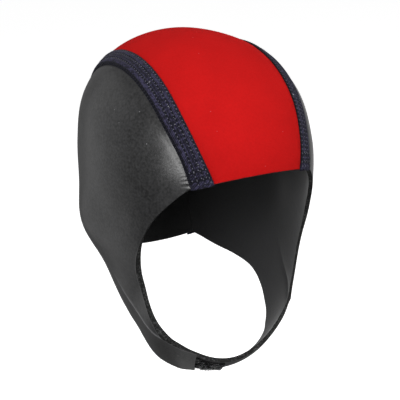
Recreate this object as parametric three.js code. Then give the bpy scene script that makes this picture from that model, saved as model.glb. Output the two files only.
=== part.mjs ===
// A neoprene swim cap in its worn form: a crown panel, two side panels that run down into a chin
// strap, tapes over the two seams, and a hook and loop closure on the strap.
// Millimetres, +Z up. The face side is -Y and the wearer's left is +X.
// The origin is the inside of the crown's top, where the head touches it.
import * as THREE from 'three';

// Thicknesses and clearances
const NEOPRENE = 3;
const TAPE = 1.2;
const HOOK_PATCH = 0.8;
const LOOP_PATCH = 1.0;
const LAYER_GAP = 0.4;
const SEAM_GAP = 0.4;

// Sizes of the pieces
const HOLLOW_HEIGHT = 118.5;
const TAPE_WIDTH = 15;
const TAPE_OVERHANG = 1.4;
const STRAP_WIDTH = 25;
const PATCH_INSET = 0.6;
const FOLD_WIDTH = 5;

// The tail on the wearer's right lies over the other tail and both halves of the closure
const TAIL_LIFT = NEOPRENE + LOOP_PATCH + HOOK_PATCH + 3 * LAYER_GAP;

// Facets
const SEAM_STEPS = 28;
const CROWN_STEPS = 8;
const TAPE_STEPS = 3;
const STEPS_PER_SECTION = 2.5;
const PATCH_STEPS = 6;

// Directions are in degrees from the middle of the head hollow. A turn is 0 at the face and 180 at
// the nape, and a tilt is 90 at the crown. An arch runs over the head from the face at 0 to the
// crown at 90, and across is how far a direction leans from it towards one ear.
const TOP = HOLLOW_HEIGHT + NEOPRENE;
const CHIN = 119;

// Outside of the cap, as distances from the middle of the hollow, a row for each tilt
const FORM = [
  { tilt: -90, front: CHIN, side: CHIN, back: CHIN },
  { tilt: -70, front: 121, side: 108.5, back: 98 },
  { tilt: -50, front: 111, side: 90, back: 84 },
  { tilt: -30, front: 102, side: 78, back: 80 },
  { tilt: -10, front: 96, side: 75, back: 83 },
  { tilt: 10, front: 98, side: 78, back: 92 },
  { tilt: 30, front: 107, side: 91, back: 106 },
  { tilt: 48, front: 113, side: 108, back: 118 },
  { tilt: 65, front: 117, side: 117.5, back: 124.5 },
  { tilt: 90, front: TOP, side: TOP, back: TOP },
];

// The ear's swelling under the side panel
const EAR = { turn: 106, tilt: -4, spread: 19, height: 7 };

// The seam between the crown and a side panel, from the forehead hem to the nape hem
const HEM_FRONT = 23.6;
const HEM_NAPE = 218;
const SEAM = [
  { along: 24, across: 22 },
  { along: 37, across: 24.3 },
  { along: 50, across: 25.5 },
  { along: 65, across: 25.5 },
  { along: 90, across: 25 },
  { along: 140, across: 25 },
  { along: 165, across: 24.5 },
  { along: 195, across: 23 },
  { along: 218, across: 21 },
];

// Sections of a side panel, from the seam down to the jaw: where its face edge and its rear edge
// are, how far across the fold over the jaw lies, and how high the fold stands
const PANEL_SECTIONS = [
  { faceTurn: 24.4, faceTilt: 22.1, rearTurn: 154, rearTilt: -35, fold: 0.6, height: 0 },
  { faceTurn: 29.7, faceTilt: 20.8, rearTurn: 148, rearTilt: -38, fold: 0.6, height: 0 },
  { faceTurn: 38.1, faceTilt: 15.3, rearTurn: 137, rearTilt: -42.3, fold: 0.6, height: 0 },
  { faceTurn: 46.8, faceTilt: 7.2, rearTurn: 122.4, rearTilt: -45.6, fold: 0.6, height: 0 },
  { faceTurn: 53.3, faceTilt: -3.3, rearTurn: 108, rearTilt: -48.4, fold: 0.6, height: 0 },
  { faceTurn: 56.2, faceTilt: -14.2, rearTurn: 96.3, rearTilt: -51.4, fold: 0.6, height: 0 },
  { faceTurn: 56.8, faceTilt: -23.6, rearTurn: 85, rearTilt: -55, fold: 0.55, height: 0.8 },
  { faceTurn: 55, faceTilt: -31, rearTurn: 75, rearTilt: -58, fold: 0.42, height: 1.8 },
  { faceTurn: 51.6, faceTilt: -37.5, rearTurn: 65, rearTilt: -60, fold: 0.29, height: 1.8 },
  { faceTurn: 46.5, faceTilt: -43.2, rearTurn: 55, rearTilt: -62, fold: 0.12, height: 1.5 },
  { faceTurn: 39, faceTilt: -47.5, rearTurn: 44.5, rearTilt: -63, fold: -0.04, height: 0.8 },
];

// The tail on the wearer's right ends before the middle of the chin
const RIGHT_TAIL = [
  { faceTurn: 28.5, faceTilt: -51.5, rearTurn: 31, rearTilt: -63.5, fold: -0.15, height: 0 },
];

// The tail on the wearer's left crosses under the chin, where its turns become negative, and ends
// under the other tail
const LEFT_TAIL = [
  { faceTurn: 29, faceTilt: -52.5, rearTurn: 31, rearTilt: -66, fold: -0.15, height: 0 },
  { faceTurn: 15, faceTilt: -58, rearTurn: 16, rearTilt: -69.8, fold: -0.15, height: 0 },
  { faceTurn: 0, faceTilt: -61, rearTurn: 0, rearTilt: -71.2, fold: -0.15, height: 0 },
  { faceTurn: -15, faceTilt: -60, rearTurn: -16, rearTilt: -70.3, fold: -0.15, height: 0 },
  { faceTurn: -29, faceTilt: -57, rearTurn: -32, rearTilt: -67, fold: -0.15, height: 0 },
  { faceTurn: -38, faceTilt: -55.2, rearTurn: -42, rearTilt: -64.5, fold: -0.15, height: 0 },
  { faceTurn: -46, faceTilt: -54, rearTurn: -51, rearTilt: -62, fold: -0.15, height: 0 },
];

// Section numbers: the seam's arch fades out of a side panel by the first of these, the right tail
// lifts between the next two, and the closure's halves lie between the last ones
const ARCH_FADE = 7;
const LIFT_START = 6.2;
const LIFT_END = 8.8;
const LOOP_SPAN = { start: 13.6, end: 16.9 };
const HOOK_SPAN = { start: 15.2, end: 16.8 };

const { degToRad, radToDeg, lerp, clamp, smoothstep } = THREE.MathUtils;

// A smooth value between the rows of a table, held at its ends
function between(places, values, at) {
  const last = places.length - 1;
  const slope = (i) => {
    const low = Math.max(i - 1, 0);
    const high = Math.min(i + 1, last);
    return (values[high] - values[low]) / (places[high] - places[low]);
  };
  const x = clamp(at, places[0], places[last]);
  const found = places.findIndex((place) => place > x);
  const i = found < 0 ? last - 1 : found - 1;
  const span = places[i + 1] - places[i];
  const t = (x - places[i]) / span;
  const ease = t * t * (3 - 2 * t);
  const leaving = t * (1 - t) * (1 - t) * span * slope(i);
  const arriving = t * t * (t - 1) * span * slope(i + 1);
  return lerp(values[i], values[i + 1], ease) + leaving + arriving;
}

function column(table, name) {
  return table.map((row) => row[name]);
}

function directionByTurn(turn, tilt) {
  const level = Math.cos(degToRad(tilt));
  const x = Math.sin(degToRad(turn)) * level;
  const y = -Math.cos(degToRad(turn)) * level;
  return new THREE.Vector3(x, y, Math.sin(degToRad(tilt)));
}

function directionByArch(along, across) {
  const middle = Math.cos(degToRad(across));
  const y = -Math.cos(degToRad(along)) * middle;
  const z = Math.sin(degToRad(along)) * middle;
  return new THREE.Vector3(Math.sin(degToRad(across)), y, z);
}

// How far the outside of the cap is from the middle of the hollow. The front, side and back
// distances blend smoothly round each level.
function reach(direction) {
  const tilt = radToDeg(Math.asin(clamp(direction.z, -1, 1)));
  const turn = Math.atan2(Math.abs(direction.x), -direction.y);
  const [front, side, back] = ['front', 'side', 'back'].map((name) => {
    return between(column(FORM, 'tilt'), column(FORM, name), tilt) ** -2;
  });
  const ends = (front + back) / 2;
  const lean = ((front - back) / 2) * Math.cos(turn);
  const waist = ((ends - side) / 2) * Math.cos(2 * turn);
  const swelling = [-1, 1].map((ear) => {
    const angle = radToDeg(direction.angleTo(directionByTurn(ear * EAR.turn, EAR.tilt)));
    return EAR.height * Math.exp(-((angle / EAR.spread) ** 2));
  });
  return ((ends + side) / 2 + lean + waist) ** -0.5 + swelling[0] + swelling[1];
}

function pointAt(direction, outwards) {
  return direction.clone().multiplyScalar(reach(direction) + outwards);
}

function seamAcross(along) {
  return between(column(SEAM, 'along'), column(SEAM, 'across'), along);
}

// The angle that a length on the outside of the cap takes up
function angleOf(length) {
  return radToDeg(length / TOP);
}

// A flat chart of one side of the head: the ear's direction is its middle, and the distance from it
// and the arch angle round it are in degrees
function toChart(direction) {
  const fromEar = 90 - radToDeg(Math.asin(clamp(direction.x, -1, 1)));
  const along = Math.atan2(direction.z, -direction.y);
  return new THREE.Vector2(fromEar * Math.cos(along), fromEar * Math.sin(along));
}

function fromChart(place) {
  const along = radToDeg(Math.atan2(place.y, place.x));
  return directionByArch(along, 90 - place.length());
}

function seamOnChart(share) {
  const along = lerp(HEM_FRONT, HEM_NAPE, share);
  const across = seamAcross(along) + angleOf(SEAM_GAP / 2);
  return toChart(directionByArch(along, across));
}

// A point of one edge of a side panel on the chart, where section counts down from the seam
function edgeOnChart(sections, edge, section) {
  const numbers = sections.map((row, i) => i);
  const places = sections.map((row) => toChart(directionByTurn(row[`${edge}Turn`], row[`${edge}Tilt`])));
  places[0] = seamOnChart(edge === 'face' ? 0 : 1);
  const [x, y] = ['x', 'y'].map((axis) => between(numbers, column(places, axis), section));
  return new THREE.Vector2(x, y);
}

function panelDirection(sections, share, section) {
  const place = edgeOnChart(sections, 'face', section);
  place.lerp(edgeOnChart(sections, 'rear', section), share);
  const arch = seamOnChart(share).sub(seamOnChart(0).lerp(seamOnChart(1), share));
  const fade = 1 - smoothstep(section, 0, ARCH_FADE);
  return fromChart(place.addScaledVector(arch, fade));
}

// How far the fold over the jaw stands out of the panel
function foldHeight(sections, share, section) {
  const numbers = sections.map((row, i) => i);
  const face = pointAt(panelDirection(sections, 0, section), 0);
  const rear = pointAt(panelDirection(sections, 1, section), 0);
  const away = (share - between(numbers, column(sections, 'fold'), section)) * face.distanceTo(rear);
  const height = between(numbers, column(sections, 'height'), section);
  return height * Math.exp(-((away / FOLD_WIDTH) ** 2));
}

// A closed solid between an outer and an inner grid of points. place(u, v, layer) gives a point,
// with layer 0 outside and 1 inside.
function shell(columns, rows, place) {
  const points = [];
  for (const layer of [0, 1]) {
    for (let j = 0; j <= rows; j++) {
      for (let i = 0; i <= columns; i++) {
        points.push(place(i / columns, j / rows, layer));
      }
    }
  }
  const wide = columns + 1;
  const inside = wide * (rows + 1);
  const faces = [];
  const addQuad = (a, b, c, d) => faces.push(a, b, c, a, c, d);
  for (let j = 0; j < rows; j++) {
    for (let i = 0; i < columns; i++) {
      const corner = j * wide + i;
      const far = corner + wide;
      addQuad(corner, corner + 1, far + 1, far);
      addQuad(inside + corner, inside + far, inside + far + 1, inside + corner + 1);
    }
  }
  for (let i = 0; i < columns; i++) {
    const end = rows * wide + i;
    addQuad(i, inside + i, inside + i + 1, i + 1);
    addQuad(end, end + 1, inside + end + 1, inside + end);
  }
  for (let j = 0; j < rows; j++) {
    const start = j * wide;
    const end = start + columns;
    addQuad(start, start + wide, inside + start + wide, inside + start);
    addQuad(end, inside + end, inside + end + wide, end + wide);
  }
  return solidFrom(points, faces);
}

// A geometry whose faces point outwards, whichever way round its grid ran
function solidFrom(points, faces) {
  let volume = 0;
  for (let i = 0; i < faces.length; i += 3) {
    const [a, b, c] = faces.slice(i, i + 3).map((index) => points[index]);
    volume += a.dot(b.clone().cross(c));
  }
  if (volume < 0) {
    faces.reverse();
  }
  const geometry = new THREE.BufferGeometry();
  const numbers = points.flatMap((point) => point.toArray());
  geometry.setAttribute('position', new THREE.Float32BufferAttribute(numbers, 3));
  geometry.setIndex(faces);
  geometry.computeVertexNormals();
  return geometry;
}

function crownPanel() {
  return shell(CROWN_STEPS, SEAM_STEPS, (u, v, layer) => {
    const along = lerp(HEM_FRONT, HEM_NAPE, v);
    const limit = seamAcross(along) - angleOf(SEAM_GAP / 2);
    return pointAt(directionByArch(along, lerp(-limit, limit, u)), -NEOPRENE * layer);
  });
}

function seamTape(side) {
  const overhang = angleOf(TAPE_OVERHANG);
  const halfWidth = angleOf(TAPE_WIDTH / 2);
  return shell(TAPE_STEPS, SEAM_STEPS, (u, v, layer) => {
    const along = lerp(HEM_FRONT - overhang, HEM_NAPE + overhang, v);
    const across = seamAcross(along) + lerp(-halfWidth, halfWidth, u);
    const direction = directionByArch(along, side * across);
    return pointAt(direction, LAYER_GAP + TAPE * (1 - layer));
  });
}

// side is -1 on the wearer's right and 1 on the left
function sidePanel(side, tail, lift) {
  const sections = [...PANEL_SECTIONS, ...tail];
  const last = sections.length - 1;
  return shell(SEAM_STEPS, Math.round(last * STEPS_PER_SECTION), (u, v, layer) => {
    const section = v * last;
    const raised = lift * smoothstep(section, LIFT_START, LIFT_END);
    const outwards = raised + foldHeight(sections, u, section) - NEOPRENE * layer;
    const point = pointAt(panelDirection(sections, u, section), outwards);
    point.x *= side;
    return point;
  });
}

// One half of the closure, on the outside of the tail that crosses the chin
function patch(span, height, thickness) {
  const sections = [...PANEL_SECTIONS, ...LEFT_TAIL];
  const edge = PATCH_INSET / STRAP_WIDTH;
  return shell(PATCH_STEPS, PATCH_STEPS, (u, v, layer) => {
    const section = lerp(span.start, span.end, v);
    const direction = panelDirection(sections, lerp(edge, 1 - edge, u), section);
    return pointAt(direction, height + thickness * (1 - layer));
  });
}

function piece(name, geometry, color, roughness) {
  const material = new THREE.MeshStandardMaterial({ color, roughness, metalness: 0 });
  const mesh = new THREE.Mesh(geometry, material);
  mesh.name = name;
  return mesh;
}

const RED = 0xc3191a;
const NAVY = 0x2c2c40;
const SMOOTH_SKIN = 0x3f4043;
const BLACK = 0x121212;
const HOOK_HEIGHT = LAYER_GAP + LOOP_PATCH + LAYER_GAP;

const head = new THREE.Group();
head.position.z = -HOLLOW_HEIGHT;
head.add(piece('crown_panel', crownPanel(), RED, 0.8));
head.add(piece('seam_tape_right', seamTape(-1), NAVY, 0.85));
head.add(piece('seam_tape_left', seamTape(1), NAVY, 0.85));
head.add(piece('side_panel_right', sidePanel(-1, RIGHT_TAIL, TAIL_LIFT), SMOOTH_SKIN, 0.45));
head.add(piece('side_panel_left', sidePanel(1, LEFT_TAIL, 0), SMOOTH_SKIN, 0.45));

const closure = new THREE.Group();
closure.add(piece('loop_patch', patch(LOOP_SPAN, LAYER_GAP, LOOP_PATCH), BLACK, 0.95));
closure.add(piece('hook_patch', patch(HOOK_SPAN, HOOK_HEIGHT, HOOK_PATCH), BLACK, 0.9));
head.add(closure);

const cap = new THREE.Group();
cap.add(head);

export default cap;
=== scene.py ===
"""A neoprene swim cap as it sits on a head, dressed around its solids.

Metres, +Z up. The face side is -Y and the wearer's left is +X. The origin is the inside of the
crown's top. Each operator makes one piece, or a group of like pieces, and the last one the stage.
"""

import math
import random

import bmesh
import bpy
import numpy as np
from bpy.props import FloatProperty, FloatVectorProperty, PointerProperty
from mathutils import Matrix, Vector


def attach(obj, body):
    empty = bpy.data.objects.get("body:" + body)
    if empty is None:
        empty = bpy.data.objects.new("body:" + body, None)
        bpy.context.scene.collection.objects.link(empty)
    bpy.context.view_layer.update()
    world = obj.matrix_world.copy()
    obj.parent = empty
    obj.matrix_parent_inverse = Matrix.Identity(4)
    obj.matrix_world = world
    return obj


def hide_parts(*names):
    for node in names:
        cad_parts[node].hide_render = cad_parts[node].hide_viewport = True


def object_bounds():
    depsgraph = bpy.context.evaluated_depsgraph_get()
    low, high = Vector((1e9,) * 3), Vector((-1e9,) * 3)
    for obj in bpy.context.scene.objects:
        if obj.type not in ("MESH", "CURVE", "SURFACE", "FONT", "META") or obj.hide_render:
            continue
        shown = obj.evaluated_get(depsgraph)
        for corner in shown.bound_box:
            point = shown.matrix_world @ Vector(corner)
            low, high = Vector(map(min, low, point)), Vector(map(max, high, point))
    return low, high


bl_info = {
    "name": "Neoprene Swim Cap",
    "version": (1, 0, 0),
    "blender": (4, 5, 0),
    "location": "View3D > Sidebar > Swim Cap",
    "description": "Makes a neoprene swim cap with taped seams and a chin strap",
    "category": "Mesh",
}

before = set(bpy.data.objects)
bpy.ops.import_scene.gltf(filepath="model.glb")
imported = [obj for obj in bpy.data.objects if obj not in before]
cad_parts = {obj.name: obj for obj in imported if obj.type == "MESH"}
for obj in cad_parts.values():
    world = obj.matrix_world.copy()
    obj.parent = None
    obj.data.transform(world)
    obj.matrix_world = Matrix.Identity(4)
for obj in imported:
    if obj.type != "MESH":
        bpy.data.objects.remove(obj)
SOLID_LOW, SOLID_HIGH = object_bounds()

MM = 0.001

# The wearer's sides, by the sign of their X
SIDES = {"right": -1, "left": 1}


def table(columns, rows):
    """A table's columns by name, each as an array of numbers."""
    return dict(zip(columns.split(), np.array(rows, float).T))


# Outside of the cap, as distances in millimetres from the middle of the hollow, a row for each tilt
HOLLOW_MIDDLE = np.array([0, 0, -0.1185])
TOP = 121.5
FORM = table(
    "tilt front side back",
    [
        (-90, 119, 119, 119), (-70, 121, 108.5, 98), (-50, 111, 90, 84), (-30, 102, 78, 80),
        (-10, 96, 75, 83), (10, 98, 78, 92), (30, 107, 91, 106), (48, 113, 108, 118),
        (65, 117, 117.5, 124.5), (90, TOP, TOP, TOP),
    ],
)

# The ear's swelling under a side panel
EAR_TURN = 106
EAR_TILT = -4
EAR_SPREAD = 19
EAR_HEIGHT = 7

# The seam between the crown and a side panel, from the forehead hem to the nape hem, in degrees
HEM_FRONT = 23.6
HEM_NAPE = 218
SEAM = table(
    "along across",
    [
        (24, 22), (37, 24.3), (50, 25.5), (65, 25.5), (90, 25),
        (140, 25), (165, 24.5), (195, 23), (218, 21),
    ],
)

# Sections of a side panel, from the seam down to the jaw: where its face edge and its rear edge
# are in degrees, how far across the fold over the jaw lies, and how high it stands in millimetres
SECTION_COLUMNS = "face_turn face_tilt rear_turn rear_tilt fold height"
PANEL_SECTIONS = [
    (24.4, 22.1, 154, -35, 0.6, 0),
    (29.7, 20.8, 148, -38, 0.6, 0),
    (38.1, 15.3, 137, -42.3, 0.6, 0),
    (46.8, 7.2, 122.4, -45.6, 0.6, 0),
    (53.3, -3.3, 108, -48.4, 0.6, 0),
    (56.2, -14.2, 96.3, -51.4, 0.6, 0),
    (56.8, -23.6, 85, -55, 0.55, 0.8),
    (55, -31, 75, -58, 0.42, 1.8),
    (51.6, -37.5, 65, -60, 0.29, 1.8),
    (46.5, -43.2, 55, -62, 0.12, 1.5),
    (39, -47.5, 44.5, -63, -0.04, 0.8),
]
TAILS = {
    "right": [(28.5, -51.5, 31, -63.5, -0.15, 0)],
    "left": [
        (29, -52.5, 31, -66, -0.15, 0),
        (15, -58, 16, -69.8, -0.15, 0),
        (0, -61, 0, -71.2, -0.15, 0),
        (-15, -60, -16, -70.3, -0.15, 0),
        (-29, -57, -32, -67, -0.15, 0),
        (-38, -55.2, -42, -64.5, -0.15, 0),
        (-46, -54, -51, -62, -0.15, 0),
    ],
}
SECTIONS = {side: table(SECTION_COLUMNS, PANEL_SECTIONS + tail) for side, tail in TAILS.items()}

# The sections over which the seam's arch fades, and over which the right strap rises above the left
ARCH_FADE = (0, 7)
LIFT_RISE = (6.2, 8.8)

# Where the halves of the closure lie on the left tail, in sections
LOOP_SPAN = (13.6, 16.9)
HOOK_SPAN = (15.2, 16.8)
PATCH_INSET = 0.024


def size_property(name, description, default, low, high):
    """A length that a user would change, from its default and its limits in millimetres."""
    limits = {"min": low * MM, "max": high * MM}
    return FloatProperty(
        name=name, description=description, default=default * MM, unit="LENGTH", **limits
    )


class SwimCapSizes(bpy.types.PropertyGroup):
    """Sizes of the cap's pieces."""

    neoprene: size_property("Neoprene", "Thickness of the neoprene", 3, 1, 5)
    tape_width: size_property("Tape Width", "Width of a seam tape with its borders", 15, 8, 25)
    tape_height: size_property("Tape Height", "How far a tape's cords stand out", 1.3, 0.5, 2)
    stitch_pitch: size_property("Stitch Pitch", "From one stitch to the next along a tape", 2.75, 1, 6)
    thread: size_property("Thread", "Thickness of the bulky sewing thread", 0.7, 0.2, 1)
    loop_patch: size_property("Loop Patch", "Thickness of the loop half without its loops", 0.8, 0.4, 2)
    hook_patch: size_property("Hook Patch", "Thickness of the closure's hook half", 0.8, 0.4, 2)


def colour_property(name, description, default):
    """A colour of one material."""
    return FloatVectorProperty(
        name=name, description=description, default=default, min=0, max=1, subtype="COLOR", size=3
    )


class SwimCapColours(bpy.types.PropertyGroup):
    """Colours of the cap's materials."""

    jersey: colour_property("Jersey", "Knitted face of the crown panel", (0.455, 0.0075, 0.0075))
    skin: colour_property("Smooth Skin", "Rubber face of the side panels", (0.018, 0.018, 0.0185))
    tape: colour_property("Tape", "Cords of the seam tapes", (0.022, 0.02, 0.042))
    # The thread colour also paints the shade in the tapes' holes, grooves and tack rows and at their
    # crown edge
    thread: colour_property("Thread", "Border stitches, holes and tape borders", (0.003, 0.003, 0.007))
    # A paler thread than the tape: partly its own colour, partly a painted glint of the stitches
    needle_thread: colour_property("Needle Thread", "Stitches down the tapes", (0.11, 0.11, 0.135))
    foam: colour_property("Foam", "Cut edges of the neoprene", (0.012, 0.012, 0.012))
    lining: colour_property("Lining", "Knitted inside of the panels", (0.014, 0.014, 0.015))
    closure: colour_property("Closure", "Both pads of the closure", (0.004, 0.004, 0.004))
    # The loops' pale colour is a painted highlight on the curls of the black closure
    loops: colour_property("Loops", "Curled fibres of the loop half", (0.26, 0.26, 0.265))


def between(places, values, at):
    """A smooth value between the rows of a table, held at its ends."""
    rows = np.arange(len(places))
    low = np.maximum(rows - 1, 0)
    high = np.minimum(rows + 1, rows[-1])
    slopes = (values[high] - values[low]) / (places[high] - places[low])
    x = np.clip(at, places[0], places[-1])
    i = np.clip(np.searchsorted(places, x, side="right") - 1, 0, rows[-1] - 1)
    span = places[i + 1] - places[i]
    t = (x - places[i]) / span
    ease = t * t * (3 - 2 * t)
    leaving = t * (1 - t) ** 2 * span * slopes[i]
    arriving = t * t * (t - 1) * span * slopes[i + 1]
    return values[i] + (values[i + 1] - values[i]) * ease + leaving + arriving


def smoothstep(x, low, high):
    """0 below the first limit and 1 above the second, with a smooth rise between them."""
    t = np.clip((x - low) / (high - low), 0, 1)
    return t * t * (3 - 2 * t)


def bell(x, width):
    """1 at nought, falling smoothly to nothing on both sides."""
    return np.exp(-((x / width) ** 2))


def direction_by_turn(turn, tilt):
    """A direction from the middle of the hollow, by its turn from the face and tilt from level."""
    turn, tilt = np.radians(turn), np.radians(tilt)
    level = np.cos(tilt)
    return np.stack([np.sin(turn) * level, -np.cos(turn) * level, np.sin(tilt)], -1)


def direction_by_arch(along, across):
    """A direction by its angle over the head from the face, and its lean towards one ear."""
    along, across = np.radians(along), np.radians(across)
    middle = np.cos(across)
    return np.stack([np.sin(across), -np.cos(along) * middle, np.sin(along) * middle], -1)


def reach(direction):
    """How far the outside of the cap is from the middle of the hollow, in metres."""
    x, y, z = np.moveaxis(direction, -1, 0)
    tilt = np.degrees(np.arcsin(np.clip(z, -1, 1)))
    turn = np.arctan2(np.abs(x), -y)
    front, side, back = (
        between(FORM["tilt"], FORM[name], tilt) ** -2 for name in ("front", "side", "back")
    )
    ends = (front + back) / 2
    lean = (front - back) / 2 * np.cos(turn)
    waist = (ends - side) / 2 * np.cos(2 * turn)
    distance = ((ends + side) / 2 + lean + waist) ** -0.5
    for ear in SIDES.values():
        towards = direction @ direction_by_turn(ear * EAR_TURN, EAR_TILT)
        angle = np.degrees(np.arccos(np.clip(towards, -1, 1)))
        distance = distance + EAR_HEIGHT * bell(angle, EAR_SPREAD)
    return distance * MM


def point_at(direction, outwards):
    """The point in a direction that is so far out of the cap's outside."""
    return HOLLOW_MIDDLE + direction * (reach(direction) + outwards)[..., None]


def seam_across(along):
    """How far the seam leans towards an ear at an angle over the head, in degrees."""
    return between(SEAM["along"], SEAM["across"], along)


def angle_of(length):
    """The angle in degrees that a length on the outside of the cap takes up."""
    return np.degrees(length / (TOP * MM))


def to_chart(direction):
    """A place on a flat chart of one side, whose middle is the ear and whose unit is a degree."""
    x, y, z = np.moveaxis(direction, -1, 0)
    from_ear = 90 - np.degrees(np.arcsin(np.clip(x, -1, 1)))
    along = np.arctan2(z, -y)
    return np.stack([from_ear * np.cos(along), from_ear * np.sin(along)], -1)


def from_chart(place):
    """The direction of a place on the flat chart."""
    along = np.degrees(np.arctan2(place[..., 1], place[..., 0]))
    return direction_by_arch(along, 90 - np.hypot(place[..., 0], place[..., 1]))


def seam_on_chart(share):
    """A side panel's seam edge on the chart, from the forehead hem to the nape hem."""
    along = HEM_FRONT + (HEM_NAPE - HEM_FRONT) * share
    return to_chart(direction_by_arch(along, seam_across(along) + angle_of(SEAM_GAP / 2)))


def edge_on_chart(sections, edge, section):
    """A point of one edge of a side panel on the chart, where section counts from the seam."""
    places = to_chart(direction_by_turn(sections[f"{edge}_turn"], sections[f"{edge}_tilt"]))
    places[0] = seam_on_chart(np.array(0.0 if edge == "face" else 1.0))
    rows = np.arange(len(places), dtype=float)
    return np.stack([between(rows, places[:, axis], section) for axis in (0, 1)], -1)


def panel_direction(sections, share, section):
    """The direction of a place in a side panel, share across from its face edge."""
    across = share[..., None]
    face, rear = (edge_on_chart(sections, edge, section) for edge in ("face", "rear"))
    first, last = (seam_on_chart(np.array(end)) for end in (0.0, 1.0))
    arch = seam_on_chart(share) - first * (1 - across) - last * across
    fade = 1 - smoothstep(section, *ARCH_FADE)[..., None]
    return from_chart(face * (1 - across) + rear * across + arch * fade)


# Gaps and rounding
SEAM_GAP = 0.15 * MM
EDGE_ROUND = 0.3 * MM

# How a seam tape's border pulls the panels in, and how far past its border the ripples run
BORDER_DIP = 0.5 * MM
BORDER_DIP_WIDTH = 2.2 * MM
RIPPLE_HEIGHT = 0.45 * MM
RIPPLE_LENGTH = 3.6 * MM
RIPPLE_REACH = 3.5 * MM
RIPPLE_SWAY = 1.4
RIPPLES_IN_A_SWAY = 6

# The ripples' strength past the forehead, and the angles past the hem where they weaken to it
RIPPLES_BEHIND = 0.12
RIPPLES_FADE = (4, 26)


def arch_of(direction):
    """A direction's angle over the head from the face, in degrees."""
    return np.degrees(np.arctan2(direction[..., 2], -direction[..., 1])) % 360


def seam_offset(direction):
    """How far a direction's place is from the seam on its side, positive towards the ear."""
    across = np.degrees(np.arcsin(np.clip(np.abs(direction[..., 0]), 0, 1)))
    return np.radians(across - seam_across(arch_of(direction))) * TOP * MM


def border_dip(offset, sizes):
    """How far in the stitches of a tape's border pull the surface."""
    return -BORDER_DIP * bell(np.abs(offset) - sizes.tape_width / 2, BORDER_DIP_WIDTH)


def ripples(direction, sizes):
    """Small puckers beside a tape, strongest near the forehead."""
    arch = arch_of(direction)
    length = np.radians(arch) * TOP * MM
    near_hem = 1 - smoothstep(arch, *(HEM_FRONT + angle for angle in RIPPLES_FADE))
    strength = RIPPLES_BEHIND + (1 - RIPPLES_BEHIND) * near_hem
    sway = RIPPLE_SWAY * np.sin(length * 2 * math.pi / (RIPPLES_IN_A_SWAY * RIPPLE_LENGTH))
    past = np.maximum(seam_offset(direction) - sizes.tape_width / 2, 0)
    puckers = np.sin(length * 2 * math.pi / RIPPLE_LENGTH + sway - past / RIPPLE_LENGTH)
    return RIPPLE_HEIGHT * strength * puckers * np.exp(-past / RIPPLE_REACH)


def shares_of(bm, vertices):
    """The shares across and the shares along of some of a mesh's vertices."""
    layers = [bm.verts.layers.float[name] for name in ("across", "along")]
    return [np.array([vertex[layer] for vertex in vertices]) for layer in layers]


def add_wall(columns, rows, place, crowding=1.0):
    """A closed wall. place(across, along, layer) gives points, with layer 0 outside and 1 inside.

    Faces get material 0 outside, 1 inside and 2 on the cut edges, and each vertex keeps its shares.
    """
    bm = bmesh.new()
    bmesh.ops.create_grid(bm, x_segments=columns, y_segments=rows, size=0.5)
    across = bm.verts.layers.float.new("across")
    along = bm.verts.layers.float.new("along")
    for vertex in bm.verts:
        vertex[across] = (vertex.co.x + 0.5) ** crowding
        vertex[along] = vertex.co.y + 0.5
    inner_faces = list(bm.faces)
    inner = list(bm.verts)
    grown = bmesh.ops.extrude_face_region(bm, geom=inner_faces, use_keep_orig=True)["geom"]
    outer = [item for item in grown if isinstance(item, bmesh.types.BMVert)]
    outer_faces = {item for item in grown if isinstance(item, bmesh.types.BMFace)}
    for layer, vertices in enumerate((outer, inner)):
        for vertex, point in zip(vertices, place(*shares_of(bm, vertices), layer)):
            vertex.co = point
    inner_faces = set(inner_faces)
    for face in bm.faces:
        face.material_index = 0 if face in outer_faces else 1 if face in inner_faces else 2
    bmesh.ops.recalc_face_normals(bm, faces=bm.faces)
    return bm


def round_edges(bm, size, segments=2):
    """Rounds the edges where a wall's cut edges meet its outside and its inside."""
    corners = [
        edge
        for edge in bm.edges
        if len(edge.link_faces) == 2
        and (edge.link_faces[0].material_index == 2) != (edge.link_faces[1].material_index == 2)
    ]
    bmesh.ops.bevel(
        bm, geom=corners, offset=size, offset_type="OFFSET", affect="EDGES", segments=segments,
        profile=0.5, material=-1, clamp_overlap=True,
    )


def lay_out_cloth(bm, cloth):
    """Gives the wall a UV map, in millimetres of flat cloth, from its shares across and along."""
    uv = bm.loops.layers.uv.new("cloth")
    bm.verts.index_update()
    flat = cloth(*shares_of(bm, bm.verts)) / MM
    for face in bm.faces:
        for loop in face.loops:
            loop[uv].uv = flat[loop.vert.index]


def length_along(points, at):
    """The length of a line of points up to each share of it."""
    steps = np.linalg.norm(np.diff(points, axis=0), axis=1)
    lengths = np.concatenate([[0], np.cumsum(steps)])
    return np.interp(at, np.linspace(0, 1, len(points)), lengths)


def add_object(name, data):
    """An object in the scene that shows a mesh, a light or a camera."""
    made = bpy.data.objects.new(name, data)
    bpy.context.scene.collection.objects.link(made)
    return made


def add_mesh_object(name, bm, materials):
    """An object in the scene from a mesh that is being edited."""
    mesh = bpy.data.meshes.new(name)
    bm.to_mesh(mesh)
    bm.free()
    for material in materials:
        mesh.materials.append(material)
    return add_object(name, mesh)


def placed(at, *axes):
    """The matrix of a frame at a place, with those three axes."""
    return Matrix.Translation(at) @ Matrix(axes).transposed().to_4x4()


def finish_piece(name, bm, materials, node=None):
    """Makes the mesh an object that rides with the cap and may stand for a solid."""
    open_edges = sum(not edge.is_manifold for edge in bm.edges)
    if open_edges:
        raise RuntimeError(f"{name} has {open_edges} open or doubled edges")
    for face in bm.faces:
        face.smooth = True
    piece = add_mesh_object(name, bm, materials)
    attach(piece, "root")
    if node is not None:
        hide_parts(node)


def set_inputs(tree, node, values):
    """Sets a node's inputs to values, or links other nodes' outputs to them."""
    for key, value in values.items():
        if isinstance(value, bpy.types.NodeSocket):
            tree.links.new(value, node.inputs[key])
        else:
            node.inputs[key].default_value = value


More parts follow.
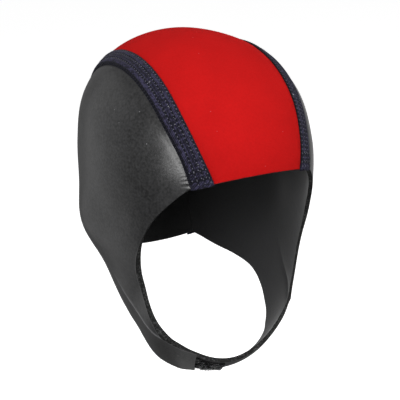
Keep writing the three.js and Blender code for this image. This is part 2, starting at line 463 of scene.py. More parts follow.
def add_node(tree, kind, inputs=None, **settings):
    """A shader node with those inputs and settings."""
    node = tree.nodes.new(kind)
    for name, value in settings.items():
        setattr(node, name, value)
    set_inputs(tree, node, inputs or {})
    return node


def maths(tree, operation, *values):
    """The result of a sum on numbers or other nodes' outputs."""
    return add_node(tree, "ShaderNodeMath", dict(enumerate(values)), operation=operation).outputs[0]


def noise(tree, place, scale, detail=2.0, roughness=0.5):
    """Smooth noise, from 0 to 1."""
    inputs = {"Vector": place, "Scale": scale, "Detail": detail, "Roughness": roughness}
    return add_node(tree, "ShaderNodeTexNoise", inputs).outputs["Fac"]


def ramp(tree, value, low, high, from_value=0.0, to_value=1.0):
    """A value stretched from one range to another and held at its ends."""
    inputs = {0: value, 1: low, 2: high, 3: from_value, 4: to_value}
    return add_node(tree, "ShaderNodeMapRange", inputs).outputs[0]


def blend(tree, share, first, second):
    """The first colour where share is 0 and the second where it is 1."""
    inputs = {0: share, 6: first, 7: second}
    return add_node(tree, "ShaderNodeMix", inputs, data_type="RGBA").outputs[2]


def bump(tree, height, distance, strength, under=None):
    """A normal that follows a height, on top of another normal if there is one."""
    inputs = {"Height": height, "Distance": distance, "Strength": strength}
    if under is not None:
        inputs["Normal"] = under
    return add_node(tree, "ShaderNodeBump", inputs).outputs["Normal"]


def shades(colour, *factors):
    """A colour made darker or lighter by each factor, opaque."""
    return [(*(min(channel * factor, 1) for channel in colour), 1) for factor in factors]


def material_of(name, look, *values):
    """The material of that name, whose look gives its shader's inputs when it is first made."""
    material = bpy.data.materials.get(name)
    if material is None:
        material = bpy.data.materials.new(name)
        material.use_nodes = True
        tree = material.node_tree
        set_inputs(tree, tree.nodes["Principled BSDF"], look(tree, *values))
    return material


def object_place(tree):
    """The place in the cap's own frame, in metres."""
    return add_node(tree, "ShaderNodeTexCoord").outputs["Object"]


def cloth_place(tree):
    """The flat cloth's two coordinates in millimetres."""
    uv = add_node(tree, "ShaderNodeUVMap", uv_map="cloth").outputs[0]
    parts = add_node(tree, "ShaderNodeSeparateXYZ", {0: uv})
    return parts.outputs[0], parts.outputs[1]


def wave(tree, place, pitch):
    """A sine of that pitch, from -1 to 1."""
    return maths(tree, "SINE", maths(tree, "MULTIPLY", place, 2 * math.pi / pitch))


def specks(tree, place, scale, share, radius, strength=1.0):
    """That strength on a small round speck in some share of the cells, and 0 elsewhere."""
    cells = add_node(tree, "ShaderNodeTexVoronoi", {"Vector": place, "Scale": scale})
    parts = add_node(tree, "ShaderNodeSeparateXYZ", {0: cells.outputs["Color"]})
    picked = maths(tree, "LESS_THAN", parts.outputs[0], share)
    near = maths(tree, "LESS_THAN", cells.outputs["Distance"], radius)
    return maths(tree, "MULTIPLY", maths(tree, "MULTIPLY", picked, near), strength)


def smooth_skin(tree, colours):
    """Smooth rubber skin: cloudy, faintly grained, with a few pale specks and a painted highlight along
    the fold and the face edge's lip.
    """
    place = object_place(tree)
    dark, light, painted_highlight, speck = shades(colours.skin, 0.4, 1.8, 12.0, 11.0)
    clouds = noise(tree, place, scale=22, detail=4, roughness=0.6)
    fine = noise(tree, place, scale=620)
    tone = maths(tree, "MULTIPLY_ADD", fine, 0.6, maths(tree, "MULTIPLY", clouds, 0.4))
    colour = blend(tree, ramp(tree, tone, 0.36, 0.64), dark, light)
    dust = specks(tree, place, scale=130, share=0.6, radius=0.045)
    colour = blend(tree, dust, colour, speck)
    # The crest attribute paints a highlight: pale skin along the fold's crest, and a fainter line on the
    # face edge's lip
    crest = add_node(tree, "ShaderNodeAttribute", attribute_name="crest").outputs["Fac"]
    patches = noise(tree, place, scale=60, detail=3)
    grain = bump(tree, noise(tree, place, scale=1300, detail=3), distance=0.12 * MM, strength=0.5)
    return {
        "Base Color": blend(tree, crest, colour, painted_highlight),
        "Roughness": ramp(tree, patches, 0.25, 0.75, 0.29, 0.35),
        "Normal": bump(tree, noise(tree, place, scale=45), distance=0.9 * MM, strength=0.35, under=grain),
        "Specular IOR Level": 0.5,
    }


# The jersey's knit, in millimetres of flat cloth, with the slant of its courses in radians
WALE_PITCH = 1.1
COURSE_PITCH = 0.9
COURSE_SLANT = 2.2

# Lint on the jersey; on the tapes, pale specks that are partly lint and partly painted highlights of the
# stitches
LINT_COLOUR = (0.3, 0.3, 0.34, 1)


def knit(tree):
    """The height of a fine weft knit, whose wales are crossed by slanted courses."""
    across, along = cloth_place(tree)
    wales = maths(tree, "ABSOLUTE", wave(tree, across, WALE_PITCH))
    slant = maths(tree, "MULTIPLY", wales, COURSE_SLANT)
    turned = maths(tree, "MULTIPLY_ADD", along, 2 * math.pi / COURSE_PITCH, slant)
    return maths(tree, "MULTIPLY_ADD", maths(tree, "SINE", turned), 0.5, wales)


def red_jersey(tree, colours):
    """Fine knitted jersey, matt with a slight nap."""
    place = object_place(tree)
    height = knit(tree)
    deep, bright = shades(colours.jersey, 0.9, 1.06)
    clouds = noise(tree, place, scale=35, detail=4)
    mottle = maths(tree, "ADD", clouds, noise(tree, place, scale=700))
    # The knit's height tints the colour: painted shade, a little darker in the knit's hollows
    tone = maths(tree, "MULTIPLY_ADD", height, 0.12, mottle)
    colour = blend(tree, ramp(tree, tone, 0.7, 1.4), deep, bright)
    lint = specks(tree, place, scale=150, share=0.35, radius=0.05, strength=0.3)
    return {
        "Base Color": blend(tree, lint, colour, LINT_COLOUR),
        "Normal": bump(tree, height, distance=0.12 * MM, strength=0.6),
        "Roughness": 0.85,
        "Specular IOR Level": 0.03,
        "Sheen Weight": 0.02,
        "Sheen Roughness": 0.45,
        "Sheen Tint": (1, 0.15, 0.12, 1),
    }


def black_lining(tree, colours):
    """Knitted nylon on the inside of the neoprene."""
    low, high = shades(colours.lining, 0.7, 1.5)
    yarn = noise(tree, object_place(tree), scale=900, detail=3)
    return {
        "Base Color": blend(tree, yarn, low, high),
        "Normal": bump(tree, yarn, distance=0.3 * MM, strength=0.6),
        "Roughness": 0.85,
        "Sheen Weight": 0.25,
    }


def foam_edge(tree, colours):
    """The raw cut edge of the neoprene, with the grain of its closed cells."""
    low, high = shades(colours.foam, 0.3, 7.0)
    cells = noise(tree, object_place(tree), scale=800, detail=4, roughness=0.7)
    return {
        "Base Color": blend(tree, ramp(tree, cells, 0.5, 0.7), low, high),
        "Normal": bump(tree, cells, distance=0.6 * MM, strength=0.9),
        "Roughness": 0.8,
        "Specular IOR Level": 0.3,
    }


def wall_materials(outside, look, colours):
    """A neoprene wall's materials: that one outside, the lining inside and foam on the cut edges."""
    looks = {outside: look, "knitted_lining": black_lining, "cut_foam": foam_edge}
    return [material_of(name, looks[name], colours) for name in looks]


# Where the dark places of a tape fade, in millimetres of its flat cloth from each one's own line
EDGE_FADE = (0.5, 1.0)
BORDER_FADE = (-0.9, -0.2)
GROOVE_FADE = (0.2, 0.8)
TACK_FADE = (0.5, 1.1)
HEM_FADE = (-1.6, -0.8)
GROOVE_SHARE = 0.6
TACK_SHADE = 0.95
HEM_SHADE = 0.45


def needle_line_shadow(tree, across, from_hole, line, depth):
    """Painted shade in the groove of one needle line, with darker painted shade in a hole beside each
    stitch.
    """
    away = maths(tree, "ABSOLUTE", maths(tree, "SUBTRACT", across, line))
    sideways = maths(tree, "POWER", maths(tree, "DIVIDE", away, HOLE_WIDTH), 2.0)
    distance = maths(tree, "SQRT", maths(tree, "ADD", sideways, from_hole))
    hole = ramp(tree, distance, 0.8, 1.2, depth, 0.0)
    groove = ramp(tree, away, *GROOVE_FADE, GROOVE_SHARE * depth, 0.0)
    return maths(tree, "MAXIMUM", hole, groove)


def tape_shadow(tree, across, along, sizes):
    """How dark each place on a tape is, from 0 to 1: the ear border's dark thread, a dark line at the
    crown edge that is partly thread and partly painted shade, and painted shade in the needle lines'
    grooves and holes and along the tack rows.
    """
    width = sizes.tape_width / MM
    pitch = sizes.stitch_pitch / MM
    crown_edge = [limit - width / 2 for limit in EDGE_FADE]
    ear_border = [NEEDLE_LINES[-1] * width + limit for limit in BORDER_FADE]
    edge = ramp(tree, across, *crown_edge, 1.0, 0.0)
    shadow = maths(tree, "MAXIMUM", edge, ramp(tree, across, *ear_border))
    in_pitch = maths(tree, "FRACT", maths(tree, "DIVIDE", along, pitch))
    from_hole = maths(tree, "SUBTRACT", in_pitch, 0.5)
    from_hole = maths(tree, "MULTIPLY", from_hole, pitch / HOLE_LENGTH)
    from_hole = maths(tree, "POWER", maths(tree, "ABSOLUTE", from_hole), 2.0)
    for line, depth in zip((*NEEDLE_LINES, MIDDLE_LINE), (*HOLE_DEPTHS, MIDDLE_DEPTH)):
        dark = needle_line_shadow(tree, across, from_hole, line * width, depth)
        shadow = maths(tree, "MAXIMUM", shadow, dark)
    from_other_end = maths(tree, "SUBTRACT", tape_length() / MM, along)
    inwards = maths(tree, "MINIMUM", along, from_other_end)
    past_tack = [TACK_ROWS[0] / MM + limit for limit in HEM_FADE]
    hem = ramp(tree, inwards, *past_tack, HEM_SHADE, 1.0)
    shadow = maths(tree, "MULTIPLY", shadow, hem)
    for row in TACK_ROWS:
        away = maths(tree, "ABSOLUTE", maths(tree, "SUBTRACT", inwards, row / MM))
        tack = ramp(tree, away, *TACK_FADE, TACK_SHADE, 0.0)
        shadow = maths(tree, "MAXIMUM", shadow, tack)
    return shadow


def stitched_tape(tree, colours, sizes):
    """Tape under needle lines: cords with painted shade in a hole beside each stitch, and dark borders.
    """
    place = object_place(tree)
    across, along = cloth_place(tree)
    pits = specks(tree, place, scale=480, share=0.5, radius=0.3, strength=0.85)
    shadow = maths(tree, "MAXIMUM", tape_shadow(tree, across, along, sizes), pits)
    slanted_place = maths(tree, "MULTIPLY_ADD", across, 0.7, along)
    strands = wave(tree, slanted_place, sizes.stitch_pitch / MM / 2)
    yarn = noise(tree, place, scale=560, detail=3, roughness=0.6)
    tone = maths(tree, "MULTIPLY_ADD", strands, 0.1, yarn)
    low, high = shades(colours.tape, 0.2, 1.8)
    colour = blend(tree, ramp(tree, tone, 0.38, 0.62), low, high)
    # The thread's colour where the tape is dark: painted shade in the holes, grooves and tack rows and at
    # the crown edge, and the real dark border and pits
    colour = blend(tree, shadow, colour, (*colours.thread, 1))
    # Pale specks on the tape: partly lint, partly painted highlights of the stitches
    lint = specks(tree, place, scale=300, share=0.15, radius=0.16, strength=0.6)
    height = maths(tree, "SUBTRACT", maths(tree, "MULTIPLY", tone, 0.6), shadow)
    return {
        "Base Color": blend(tree, lint, colour, LINT_COLOUR),
        "Normal": bump(tree, height, distance=0.4 * MM, strength=0.9),
        "Roughness": 0.8,
        "Specular IOR Level": 0.15,
        "Sheen Weight": 0.04,
    }


def plain_fibre(tree, colour, roughness, sheen):
    """Thread, hook or loop fibre, uneven along its length."""
    low, high = shades(colour, 0.6, 2.2)
    fibres = noise(tree, object_place(tree), scale=1500, detail=3)
    return {
        "Base Color": blend(tree, fibres, low, high),
        "Normal": bump(tree, fibres, distance=0.2 * MM, strength=0.5),
        "Roughness": roughness,
        "Specular IOR Level": 0.15,
        "Sheen Weight": sheen,
    }


# The crown panel and its mesh
CROWN_COLUMNS = 72
CROWN_ROWS = 250


def make_crown(sizes, colours):
    """The knitted strip from the forehead to the nape."""

    def where(across, along):
        arch = HEM_FRONT + (HEM_NAPE - HEM_FRONT) * along
        limit = seam_across(arch) - angle_of(SEAM_GAP / 2)
        return arch, limit * (2 * across - 1)

    def place(across, along, layer):
        direction = direction_by_arch(*where(across, along))
        dip = border_dip(seam_offset(direction), sizes) * (1 - layer)
        return point_at(direction, dip - sizes.neoprene * layer)

    def cloth(across, along):
        _, lean = where(across, along)
        steps = np.linspace(0, 1, CROWN_ROWS)
        middle = direction_by_arch(*where(0 * steps + 0.5, steps))
        length = length_along(point_at(middle, 0 * steps), along)
        return np.stack([np.radians(lean) * TOP * MM, length], -1)

    bm = add_wall(CROWN_COLUMNS, CROWN_ROWS, place)
    lay_out_cloth(bm, cloth)
    round_edges(bm, EDGE_ROUND)
    materials = wall_materials("knitted_jersey", red_jersey, colours)
    finish_piece("crown", bm, materials, "crown_panel")


# A side panel's mesh, with its columns closer together towards the face edge
PANEL_COLUMNS = 176
ROWS_PER_SECTION = 11
COLUMN_CROWDING = 1.45

# The sections between which the tape's pull on a side panel fades
TAPE_PULL = (1, 3)

# The fold over the jaw has a sharp crest, with a painted highlight along it
FOLD_WIDTH = 3.2 * MM
CREST_WIDTH = 0.6 * MM
FOLD_SHARPNESS = 0.4 * MM
CREST_FADE = (9.4, 10.4)

# Down the cheek, but not on the tails, the face edge is cut slantwise, so its foam shows
SLANT = 4.4 * MM
SLANT_RISE = (3.8, 5.8)
SLANT_FADE = (9.0, 10.8)

# The face edge's lip gets a fainter painted highlight too
LIP_WIDTH = 0.7 * MM
LIP_HIGHLIGHT = 0.35

# The right tail lies over the left one and the closure, and is pressed thin at its end
CLOSURE_ROOM = 3.0 * MM
TAIL_TAPER = 1.5 * MM
TAPER_SECTIONS = 0.9


def panel_width(sections, section):
    """How wide a side panel is at a section, from edge to edge."""
    face, rear = (
        point_at(panel_direction(sections, 0 * section + end, section), 0 * section) for end in (0, 1)
    )
    return np.linalg.norm(face - rear, axis=-1)


def from_fold(sections, share, section):
    """How far a place in a side panel is from the fold, and the fold's height there."""
    rows = np.arange(len(sections["fold"]), dtype=float)
    away = (share - between(rows, sections["fold"], section)) * panel_width(sections, section)
    return away, between(rows, sections["height"], section) * MM


def slanted(sections, share, section):
    """A share across the outside of a panel, with the face edge set back by the slanted cut."""
    slant = SLANT * smoothstep(section, *SLANT_RISE)
    slant = slant * (1 - smoothstep(section, *SLANT_FADE))
    return share + slant / panel_width(sections, section) * (1 - share) ** 3


def make_side_panel(side, sizes, colours):
    """A smooth-skin side in one with its half of the chin strap."""
    sections = SECTIONS[side]
    last = len(sections["fold"]) - 1
    lift = (sizes.neoprene + CLOSURE_ROOM) if side == "right" else 0
    taper = TAIL_TAPER if side == "right" else 0

    def place(across, along, layer):
        section = along * last
        if layer == 0:
            across = slanted(sections, across, section)
        direction = panel_direction(sections, across, section)
        away, height = from_fold(sections, across, section)
        past_crest = np.maximum(np.hypot(away, FOLD_SHARPNESS) - FOLD_SHARPNESS, 0)
        fold = height * np.exp(-past_crest / FOLD_WIDTH)
        outwards = lift * smoothstep(section, *LIFT_RISE) + fold
        if layer == 0:
            outwards = outwards - taper * smoothstep(section, last - TAPER_SECTIONS, last)
            pull = 1 - smoothstep(section, *TAPE_PULL)
            outwards = outwards + border_dip(seam_offset(direction), sizes) * pull
            outwards = outwards + ripples(direction, sizes) * pull
        points = point_at(direction, outwards - sizes.neoprene * layer)
        points[:, 0] *= SIDES[side]
        return points

    rows = round(last * ROWS_PER_SECTION)
    bm = add_wall(PANEL_COLUMNS, rows, place, COLUMN_CROWDING)
    # The crest attribute: a painted highlight along the fold's crest, and a fainter one along the face
    # edge's lip
    crest = bm.verts.layers.float.new("crest")
    across, along = shares_of(bm, bm.verts)
    section = along * last
    away, height = from_fold(sections, slanted(sections, across, section), section)
    painted_highlight = bell(away, CREST_WIDTH) * np.clip(height / MM, 0, 1)
    painted_highlight = painted_highlight * (1 - smoothstep(section, *CREST_FADE))
    # A fainter painted highlight along the face edge's lip
    lip = bell(across * panel_width(sections, section), LIP_WIDTH)
    lip = lip * smoothstep(section, *SLANT_RISE)
    painted_highlight = np.maximum(painted_highlight, LIP_HIGHLIGHT * lip)
    for vertex, value in zip(bm.verts, painted_highlight):
        vertex[crest] = value
    round_edges(bm, EDGE_ROUND)
    materials = wall_materials("rubber_skin", smooth_skin, colours)
    finish_piece(f"side_{side}", bm, materials, f"side_panel_{side}")


# A seam tape's mesh
TAPE_COLUMNS = 60
TAPE_ROWS = 330
TAPE_OVERHANG = 1.4 * MM
TAPE_CLEARANCE = 0.03 * MM
TAPE_ROUND = 0.12 * MM

# Four needle lines run down a tape, at these shares of its width from its middle to the ear, with
# cords between them and a low border past the last one
NEEDLE_LINES = (-0.405, -0.155, 0.125, 0.405)
HOLE_DEPTHS = (0.85, 0.95, 1.0, 1.0)
HOLE_LENGTH = 0.95
HOLE_WIDTH = 0.85
MIDDLE_LINE = -0.02
MIDDLE_DEPTH = 0.75
GROOVE_DEPTH = 0.5 * MM
GROOVE_WIDTH = 0.6 * MM
CROWN_SLOPE = 0.5 * MM
BORDER_SLOPE = (-0.2 * MM, 0.5 * MM)
BORDER_SHARE = 0.4

# Both ends of a tape are folded under, spread towards the ear and tacked by two rows of stitches
END_FOLD = (11 * MM, 13 * MM)
END_FOLD_HEIGHT = 0.5 * MM
END_SPREAD = 2.8 * MM
SPREAD_LENGTH = 26 * MM
TACK_ROWS = (5.3 * MM, 10.9 * MM)
TACK_DIP = 0.7 * MM
TACK_DIP_WIDTH = 0.7 * MM


def tape_arch(along):
    """The angle over the head at a share along a tape, in degrees."""
    overhang = angle_of(TAPE_OVERHANG)
    return HEM_FRONT - overhang + (HEM_NAPE - HEM_FRONT + 2 * overhang) * along


def seam_length(along):
    """Length of the seam from the front end of a tape up to each share of it."""
    steps = np.linspace(0, 1, TAPE_ROWS)
    arch = tape_arch(steps)
    return length_along(point_at(direction_by_arch(arch, seam_across(arch)), 0 * steps), along)


def tape_length():
    """Length of a whole tape."""
    return seam_length(np.array([1.0]))[0]


def from_end(length):
    """How far a place along a tape is from the nearer end."""
    return np.minimum(length, tape_length() - length)


def tape_height(offset, length, sizes):
    """How high a tape's surface stands over the panels."""
    half = sizes.tape_width / 2
    lines = np.array(NEEDLE_LINES) * sizes.tape_width
    body = smoothstep(offset, -half, CROWN_SLOPE - half)
    body = body * (1 - smoothstep(offset, *(lines[-1] + slope for slope in BORDER_SLOPE)))
    from_line = np.min([np.abs(offset - line) for line in lines], axis=0)
    height = sizes.tape_height * (BORDER_SHARE + (1 - BORDER_SHARE) * body)
    height = height - GROOVE_DEPTH * body * np.exp(-from_line / GROOVE_WIDTH)
    inwards = from_end(length)
    height = height + END_FOLD_HEIGHT * (1 - smoothstep(inwards, *END_FOLD))
    for row in TACK_ROWS:
        height = height - TACK_DIP * bell(inwards - row, TACK_DIP_WIDTH)
    return height


def spread(offset, length, sizes):
    """Where an offset lies across the seam, since a tape widens towards the ear near its ends."""
    share = offset / sizes.tape_width + 0.5
    return offset + END_SPREAD * share * (1 - smoothstep(from_end(length), 0, SPREAD_LENGTH))


def tape_point(side, offset, along, sizes, above=None):
    """A point on a tape, or that far above its surface or, with above None, on the panels."""
    arch = tape_arch(along)
    length = seam_length(along)
    lying = spread(offset, length, sizes)
    direction = direction_by_arch(arch, seam_across(arch) + angle_of(lying))
    outwards = border_dip(lying, sizes)
    if above is None:
        outwards = outwards + TAPE_CLEARANCE
    else:
        outwards = outwards + tape_height(offset, length, sizes) + above
    points = point_at(direction, outwards)
    points[..., 0] *= SIDES[side]
    return points


def make_tape(side, sizes, colours):
    """The tape over one seam, with cords between its needle lines."""

    def place(across, along, layer):
        offset = (across - 0.5) * sizes.tape_width
        return tape_point(side, offset, along, sizes, None if layer else 0)

    def cloth(across, along):
        return np.stack([(across - 0.5) * sizes.tape_width, seam_length(along)], -1)

    bm = add_wall(TAPE_COLUMNS, TAPE_ROWS, place)
    lay_out_cloth(bm, cloth)
    round_edges(bm, TAPE_ROUND, segments=1)
    materials = [material_of("stitched_tape", stitched_tape, colours, sizes)] * 3
    finish_piece(f"tape_{side}", bm, materials, f"seam_tape_{side}")


# How many small shapes are made before they join the rest
SHAPES_AT_A_TIME = 24

# The stitches of one pitch: the share of the tape's width that each follows, its start and end in
# millimetres across and along from there, and its thread, 1 down the tape and 0 on the borders
STITCHES = [(line, 0, -0.5, 0.1, 0.5, 1) for line in NEEDLE_LINES[:-1]]
STITCHES += [(0.5, -1.7, -0.6, 0.45, 0.7, 0), (-0.5, 0.35, -0.9, 0.2, 0.9, 0)]
STITCH_RISE = -0.16 * MM

# The stitches of a tack row, which stand by turns on one side of it and the other
TACK_STITCHES = 9
TACK_SHIFT = 1.1 * MM
TACK_MARGINS = 3 * MM
TACK_SWAY = 0.35 * MM
TACK_SLANT = 0.4 * MM
TACK_STITCH = 1.2 * MM


def add_many(bm, add_one, items):
    """Adds small shapes, a few at a time, since an operator goes over a whole mesh."""
    few = bpy.data.meshes.new("few")
    for first in range(0, len(items), SHAPES_AT_A_TIME):
        part = bmesh.new()
        for item in items[first : first + SHAPES_AT_A_TIME]:
            add_one(part, *item)
        part.to_mesh(few)
        part.free()
        bm.from_mesh(few)
    bpy.data.meshes.remove(few)


def add_stitch(bm, start, end, outwards, thickness, thread):
    """One stitch: a bead from start to end, in the thread of that number."""
    start, end = Vector(start), Vector(end)
    along = end - start
    upwards = Vector(outwards).normalized()
    across = upwards.cross(along).normalized()
    matrix = placed((start + end) / 2, along.normalized(), across, upwards)
    matrix = matrix @ Matrix.Diagonal((along.length / 2, thickness / 2, thickness / 2, 1))
    made = bmesh.ops.create_uvsphere(bm, u_segments=6, v_segments=4, radius=1, matrix=matrix)
    for vertex in made["verts"]:
        for face in vertex.link_faces:
            face.material_index = thread


def stitch_places(sizes):
    """Each stitch of a tape: its start and its end, both across and along, and its thread."""
    total = tape_length()
    places = []
    for number in range(1, int(total / sizes.stitch_pitch)):
        at = number * sizes.stitch_pitch
        for line, *places_in_mm, thread in STITCHES:
            offset = line * sizes.tape_width
            ends = [base + place * MM for base, place in zip((offset, at) * 2, places_in_mm)]
            places.append((*ends, thread))
    for row in TACK_ROWS:
        for middle in (row + TACK_SHIFT, total - row - TACK_SHIFT):
            for number in range(TACK_STITCHES):
                offset = (number / (TACK_STITCHES - 1) - 0.5) * (sizes.tape_width - TACK_MARGINS)
                start = middle + TACK_SWAY * (-1) ** number - TACK_STITCH / 2
                places.append((offset, start, offset + TACK_SLANT, start + TACK_STITCH, number % 2))
    return np.array(places)


def make_stitches(side, sizes, colours):
    """The stitches down a tape's needle lines and borders, and its tack rows."""
    places = stitch_places(sizes)
    steps = np.linspace(0, 1, TAPE_ROWS)
    lengths = seam_length(steps)
    ends = []
    for offset, length in (places[:, :2].T, places[:, 2:4].T):
        ends.append(tape_point(side, offset, np.interp(length, lengths, steps), sizes, STITCH_RISE))
    outwards = (ends[0] + ends[1]) / 2 - HOLLOW_MIDDLE
    threads = places[:, 4].astype(int).tolist()
    bm = bmesh.new()
    add_many(bm, add_stitch, list(zip(*ends, outwards, [sizes.thread] * len(places), threads)))
    materials = [
        material_of("sewing_thread", plain_fibre, colours.thread, 0.6, 0.1),
        # The needle thread's pale colour is partly a painted glint
        material_of("needle_thread", plain_fibre, colours.needle_thread, 0.5, 0.2),
    ]
    finish_piece(f"stitches_{side}", bm, materials)


# The closure's two halves
PATCH_COLUMNS = 36
PATCH_ROWS = 60
LAYER_GAP = 0.15 * MM
PATCH_ROUND = 0.15 * MM

# The curled fibres, with the ranges of their radius in millimetres, and lean and sweep in radians
LOOP_COUNT = 170
LOOP_SHOWN = 0.46
LOOP_SEED = 11
LOOP_FIBRE = 0.2 * MM
LOOP_OVERHANG = 1.0
LOOP_RADIUS = (0.9, 1.6)
LOOP_LEAN = (0.7, 1.35)
LOOP_SWEEP = (2.8, 4.2)
LOOP_STEPS = 6


def patch_point(across, along, span, height):
    """A point over the left tail, at shares across it and along a span of its sections."""
    section = span[0] + (span[1] - span[0]) * along
    share = PATCH_INSET + (1 - 2 * PATCH_INSET) * across
    return point_at(panel_direction(SECTIONS["left"], share, section), height)


def make_patch(name, span, base, thickness, material, node):
    """One half of the closure as a thin pad."""

    def place(across, along, layer):
        return patch_point(across, along, span, 0 * across + base + thickness * (1 - layer))

    bm = add_wall(PATCH_COLUMNS, PATCH_ROWS, place)
    round_edges(bm, PATCH_ROUND)
    finish_piece(name, bm, [material] * 3, node)


def add_loop(bm, place, radius, thread, sweep):
    """One curled fibre: a ring section spun part of the way round."""
    start = place @ Matrix.Translation((radius, 0, 0)) @ Matrix.Rotation(math.pi / 2, 4, "X")
    ring = bmesh.ops.create_circle(bm, cap_ends=True, segments=4, radius=thread, matrix=start)
    geometry = set(ring["verts"])
    for vertex in ring["verts"]:
        geometry.update(vertex.link_edges)
        geometry.update(vertex.link_faces)
    axis = place.to_3x3() @ Vector((0, 1, 0))
    bmesh.ops.spin(
        bm, geom=list(geometry), cent=place.translation, axis=axis, angle=-sweep, steps=LOOP_STEPS
    )


def make_loops(sizes, material):
    """The curled fibres of the loop half."""
    chance = random.Random(LOOP_SEED)
    bm = bmesh.new()
    loops = []
    for _ in range(LOOP_COUNT):
        across = np.array([chance.uniform(0, LOOP_OVERHANG)])
        along = np.array([chance.uniform(0, LOOP_SHOWN)])
        height = np.array([LAYER_GAP + sizes.loop_patch])
        point = Vector(patch_point(across, along, LOOP_SPAN, height)[0])
        upwards = (point - Vector(HOLLOW_MIDDLE)).normalized()
        turned = upwards.to_track_quat("Z", "Y").to_matrix().to_4x4()
        spun = Matrix.Rotation(chance.uniform(0, 2 * math.pi), 4, "Z")
        leant = Matrix.Rotation(chance.uniform(*LOOP_LEAN), 4, "X")
        place = Matrix.Translation(point) @ turned @ spun @ leant
        radius = chance.uniform(*LOOP_RADIUS) * MM
        loops.append((place, radius, LOOP_FIBRE, chance.uniform(*LOOP_SWEEP)))
    add_many(bm, add_loop, loops)
    bmesh.ops.holes_fill(bm, edges=[edge for edge in bm.edges if edge.is_boundary], sides=4)
    bmesh.ops.recalc_face_normals(bm, faces=bm.faces)
    finish_piece("loop_fibres", bm, [material])


# The stage: the camera by the photograph's angle, in degrees, and lengths in metres
CAMERA_AZIMUTH = -28
CAMERA_ELEVATION = 17
CAMERA_ROLL = 1.5
CAMERA_DISTANCE = 0.7
CAMERA_LENS = 88.2
CAMERA_AIM = Vector((0, -0.004, -0.1165))
AIM_RIGHT = 0.0021
AIM_UP = -0.0007
FLOOR_DROP = 0.25
FLOOR_RADIUS = 8
FLOOR_COLOUR = (0.9, 0.9, 0.9, 1)
FLOOR_GLOW = 0.75
SKY_ABOVE = 0.26
SKY_BELOW = 0.15
SKY_FADE = (-0.5, 0.3)
LIGHTS = table(
    "azimuth elevation distance width height power",
    [
        (-50, 15, 1.1, 0.58, 0.58, 8.4),
        (35, 35, 1.5, 1.2, 1.2, 16),
        (-28, 80, 1.3, 0.8, 0.8, 3.6),
        (-134, 2, 2.0, 1.9, 3.0, 8.4),
        (140, -8, 2.0, 1.6, 1.6, 4.0),
        (-165, -80, 1.2, 0.6, 0.6, 0.45),
    ],
)


def looking(azimuth, elevation):
    """Axes of a view from that azimuth and elevation: right, up and back towards the viewer."""
    a, e = math.radians(azimuth), math.radians(elevation)
    right = Vector((math.cos(a), math.sin(a), 0))
    up = Vector((-math.sin(a) * math.sin(e), math.cos(a) * math.sin(e), math.cos(e)))
    return right, up, right.cross(up)


def add_camera():
    """A camera at the photograph's angle, rolled a little to one side."""
    right, up, back = looking(CAMERA_AZIMUTH, CAMERA_ELEVATION)
    roll = math.radians(CAMERA_ROLL)
    turned_right = right * math.cos(roll) - up * math.sin(roll)
    turned_up = up * math.cos(roll) + right * math.sin(roll)
    camera = add_object("camera", bpy.data.cameras.new("camera"))
    camera.data.lens = CAMERA_LENS
    camera.data.clip_start = 0.01
    aim = CAMERA_AIM + right * AIM_RIGHT + up * AIM_UP
    camera.matrix_world = placed(aim + back * CAMERA_DISTANCE, turned_right, turned_up, back)
    bpy.context.scene.camera = camera


def add_lights():
    """Rectangular lights round the cap, all aimed at its middle."""
    middle = (SOLID_LOW + SOLID_HIGH) / 2
    rows = zip(*LIGHTS.values())
    for number, (azimuth, elevation, distance, width, height, power) in enumerate(rows):
        right, up, back = looking(azimuth, elevation)
        light = bpy.data.lights.new(f"softbox_{number}", "AREA")
        light.shape = "RECTANGLE"
        light.size = width
        light.size_y = height
        light.energy = power
        lamp = add_object(light.name, light)
        lamp.matrix_world = placed(middle + back * distance, right, up, back)


def pale_floor(_):
    """A matt floor that glows evenly."""
    return {
        "Base Color": FLOOR_COLOUR,
        "Roughness": 0.9,
        "Emission Color": (1, 1, 1, 1),
        "Emission Strength": FLOOR_GLOW,
    }


def add_floor():
    """A round pale floor with a wall round it, which neither lights nor darkens the cap."""
    bm = bmesh.new()
    place = Matrix.Translation((0, 0, SOLID_LOW.z - FLOOR_DROP))
    bmesh.ops.create_circle(bm, cap_ends=True, segments=96, radius=FLOOR_RADIUS, matrix=place)
    wall = bmesh.ops.extrude_edge_only(bm, edges=list(bm.edges))["geom"]
    top = [item for item in wall if isinstance(item, bmesh.types.BMVert)]
    bmesh.ops.translate(bm, verts=top, vec=(0, 0, FLOOR_RADIUS))
    floor = add_mesh_object("floor", bm, [material_of("pale_floor", pale_floor)])
    floor.visible_diffuse = False
    floor.visible_glossy = False
    floor.visible_shadow = False


def add_sky():
    """Even light from above that fades out below the cap."""
    world = bpy.data.worlds.new("studio")
    world.use_nodes = True
    tree = world.node_tree
    direction = add_node(tree, "ShaderNodeTexCoord").outputs["Generated"]
    upwards = add_node(tree, "ShaderNodeSeparateXYZ", {0: direction}).outputs["Z"]
    strength = ramp(tree, upwards, *SKY_FADE, SKY_BELOW, SKY_ABOVE)
    set_inputs(tree, tree.nodes["Background"], {"Strength": strength, "Color": (1, 1, 1, 1)})
    bpy.context.scene.world = world


def chosen(context):
    """The sizes and the colours that are set in the scene."""
    return context.scene.swim_cap_sizes, context.scene.swim_cap_colours


class SWIMCAP_OT_crown(bpy.types.Operator):
    """Make the crown panel"""

    bl_idname = "swimcap.crown"
    bl_label = "Crown Panel"

    def execute(self, context):
        make_crown(*chosen(context))
        return {"FINISHED"}


class SWIMCAP_OT_side_panels(bpy.types.Operator):
    """Make both side panels with the chin strap"""

    bl_idname = "swimcap.side_panels"
    bl_label = "Side Panels"

    def execute(self, context):
        for side in SIDES:
            make_side_panel(side, *chosen(context))
        return {"FINISHED"}


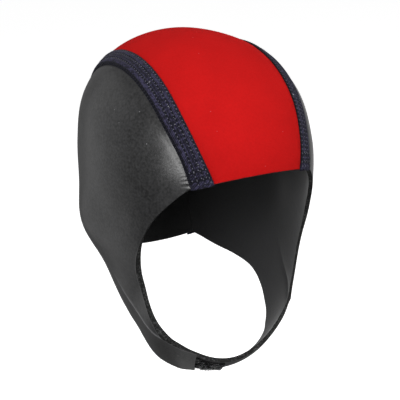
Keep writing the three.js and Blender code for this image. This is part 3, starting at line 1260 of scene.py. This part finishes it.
class SWIMCAP_OT_tapes(bpy.types.Operator):
    """Make the tapes over the seams"""

    bl_idname = "swimcap.tapes"
    bl_label = "Seam Tapes"

    def execute(self, context):
        for side in SIDES:
            make_tape(side, *chosen(context))
        return {"FINISHED"}


class SWIMCAP_OT_stitches(bpy.types.Operator):
    """Make the stitches that hold the tapes"""

    bl_idname = "swimcap.stitches"
    bl_label = "Stitches"

    def execute(self, context):
        for side in SIDES:
            make_stitches(side, *chosen(context))
        return {"FINISHED"}


class SWIMCAP_OT_closure(bpy.types.Operator):
    """Make the hook and loop closure of the chin strap"""

    bl_idname = "swimcap.closure"
    bl_label = "Closure"

    def execute(self, context):
        sizes, colours = chosen(context)
        loop = material_of("loop_backing", plain_fibre, colours.closure, 0.9, 0)
        hook = material_of("hook_fibre", plain_fibre, colours.closure, 0.7, 0)
        make_patch("loop_pad", LOOP_SPAN, LAYER_GAP, sizes.loop_patch, loop, "loop_patch")
        base = CLOSURE_ROOM - LAYER_GAP - sizes.hook_patch
        make_patch("hook_pad", HOOK_SPAN, base, sizes.hook_patch, hook, "hook_patch")
        # Pale loop fibres: a painted highlight on the black curls
        make_loops(sizes, material_of("loop_fibre", plain_fibre, colours.loops, 0.7, 0))
        return {"FINISHED"}


class SWIMCAP_OT_stage(bpy.types.Operator):
    """Make the floor, the sky, the lights and the camera"""

    bl_idname = "swimcap.stage"
    bl_label = "Stage"

    def execute(self, context):
        context.scene.view_settings.view_transform = "Standard"
        add_floor()
        add_sky()
        add_lights()
        add_camera()
        return {"FINISHED"}


STEPS = (
    SWIMCAP_OT_crown,
    SWIMCAP_OT_side_panels,
    SWIMCAP_OT_tapes,
    SWIMCAP_OT_stitches,
    SWIMCAP_OT_closure,
    SWIMCAP_OT_stage,
)


class VIEW3D_PT_swim_cap(bpy.types.Panel):
    """Sizes, colours and steps of the swim cap"""

    bl_label = "Swim Cap"
    bl_idname = "VIEW3D_PT_swim_cap"
    bl_space_type = "VIEW_3D"
    bl_region_type = "UI"
    bl_category = "Swim Cap"

    def draw(self, context):
        layout = self.layout
        for group in chosen(context):
            box = layout.box()
            for name in group.__annotations__:
                box.prop(group, name)
        for step in STEPS:
            layout.operator(step.bl_idname)


CLASSES = (SwimCapSizes, SwimCapColours, *STEPS, VIEW3D_PT_swim_cap)


def register():
    for cls in CLASSES:
        bpy.utils.register_class(cls)
    bpy.types.Scene.swim_cap_sizes = PointerProperty(type=SwimCapSizes)
    bpy.types.Scene.swim_cap_colours = PointerProperty(type=SwimCapColours)


def unregister():
    del bpy.types.Scene.swim_cap_colours
    del bpy.types.Scene.swim_cap_sizes
    for cls in reversed(CLASSES):
        bpy.utils.unregister_class(cls)


def main():
    """Makes the cap and its stage."""
    register()
    for step in STEPS:
        family, name = step.bl_idname.split(".")
        getattr(getattr(bpy.ops, family), name)()


if __name__ == "__main__":
    main()
